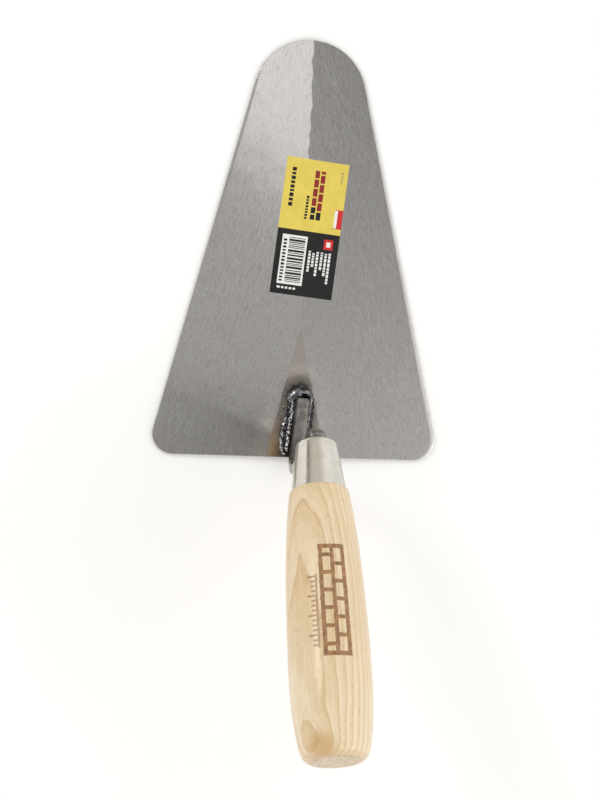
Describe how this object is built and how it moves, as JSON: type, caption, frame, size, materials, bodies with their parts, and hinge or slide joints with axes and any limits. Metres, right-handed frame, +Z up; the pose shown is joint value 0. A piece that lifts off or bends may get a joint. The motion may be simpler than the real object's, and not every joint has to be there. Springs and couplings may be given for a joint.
{
  "type": "brick trowel",
  "caption": "Brick trowel: taper-ground steel blade with a round tip, welded swan neck, plated ferrule and turned wooden handle.",
  "frame": {"origin": "middle of the blade's flat underside, halfway between the heel edge and the tip", "axes": "+Y along the blade from the heel to the tip, +Z up, out of the top of the blade, +X to the right"},
  "size_m": [0.125, 0.2898, 0.1219],
  "materials": {
    "ground_steel": "belt-ground, fine streaks along the blade, heat-tinted unground triangle at the neck",
    "forged_steel": "forged, dull grey with scale",
    "weld_metal": "rippled weld metal, dark with bright spots",
    "bright_plate": "bright nickel plate, slightly scuffed",
    "ash_wood": "pale ash, sanded and clear lacquered, with a burnt mark",
    "label_paper": "printed sticker, semi-gloss"
  },
  "bodies": {
    "root": {"blade": "ground_steel", "neck": "forged_steel", "weld_bead_front": "weld_metal", "weld_bead_left": "weld_metal", "weld_bead_right": "weld_metal", "ferrule": "bright_plate", "handle": "ash_wood", "label": "label_paper"}
  },
  "joints": []
}
